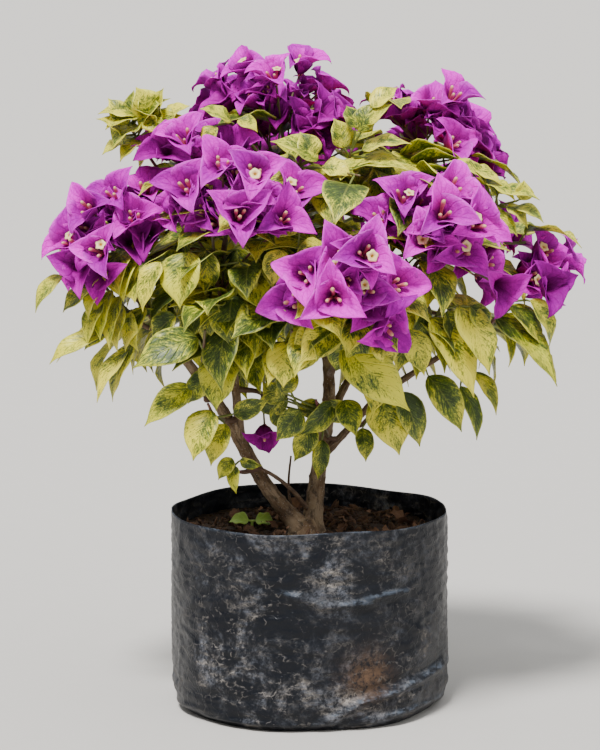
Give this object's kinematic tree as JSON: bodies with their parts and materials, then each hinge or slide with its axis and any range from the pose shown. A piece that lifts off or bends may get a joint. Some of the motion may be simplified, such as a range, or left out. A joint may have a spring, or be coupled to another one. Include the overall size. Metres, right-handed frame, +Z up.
{
  "type": "bougainvillea bonsai",
  "caption": "Bougainvillea bonsai with variegated leaves and magenta bracts, standing in a black film grow bag.",
  "frame": {"origin": "centre of the bag's base, on the surface that it stands on", "axes": "+Z up along the bag's axis, -Y towards the side that the picture shows, +X to its right"},
  "size_m": [0.4354, 0.3919, 0.5364],
  "materials": {
    "black_film": "black plastic film, creased, with grey dusty smudges",
    "potting_mix": "dark brown potting mix, rough and crumbly",
    "bark": "grey-brown bark with leaf scars",
    "variegated_leaf": "soft leaf, cream-yellow with dark green blotches",
    "magenta_bract": "papery magenta bract, slightly translucent",
    "seedling_leaf": "soft green leaf"
  },
  "bodies": {
    "root": {"bracts_far_11": "magenta_bract", "bracts_far_13": "magenta_bract", "bracts_far_15": "magenta_bract", "bracts_far_21": "magenta_bract", "bracts_far_23": "magenta_bract", "bracts_far_30": "magenta_bract", "bracts_front": "magenta_bract", "bracts_left": "magenta_bract", "bracts_left_outer": "magenta_bract", "bracts_left_upper": "magenta_bract", "bracts_low": "magenta_bract", "bracts_right": "magenta_bract", "bracts_right_outer": "magenta_bract", "bracts_top": "magenta_bract", "bracts_upper_right": "magenta_bract", "grow_bag": "black_film", "leaves_far_00": "variegated_leaf", "leaves_far_01": "variegated_leaf", "leaves_far_02": "variegated_leaf", "leaves_far_03": "variegated_leaf", "leaves_far_04": "variegated_leaf", "leaves_far_10": "variegated_leaf", "leaves_far_12": "variegated_leaf", "leaves_far_14": "variegated_leaf", "leaves_far_16": "variegated_leaf", "leaves_far_20": "variegated_leaf", "leaves_far_22": "variegated_leaf", "leaves_far_24": "variegated_leaf", "leaves_far_31": "variegated_leaf", "leaves_front_middle": "variegated_leaf", "leaves_inner_low": "variegated_leaf", "leaves_left_low": "variegated_leaf", "leaves_left_middle": "variegated_leaf", "leaves_left_outer": "variegated_leaf", "leaves_left_under": "variegated_leaf", "leaves_low_twig": "variegated_leaf", "leaves_middle_left": "variegated_leaf", "leaves_middle_top": "variegated_leaf", "leaves_middle_upper": "variegated_leaf", "leaves_right_low": "variegated_leaf", "leaves_right_middle": "variegated_leaf", "leaves_right_outer": "variegated_leaf", "leaves_right_top": "variegated_leaf", "leaves_right_upper": "variegated_leaf", "leaves_upper_left": "variegated_leaf", "potting_mix": "potting_mix", "trunk_and_limbs": "bark", "weed_seedling": "seedling_leaf"}
  },
  "joints": []
}
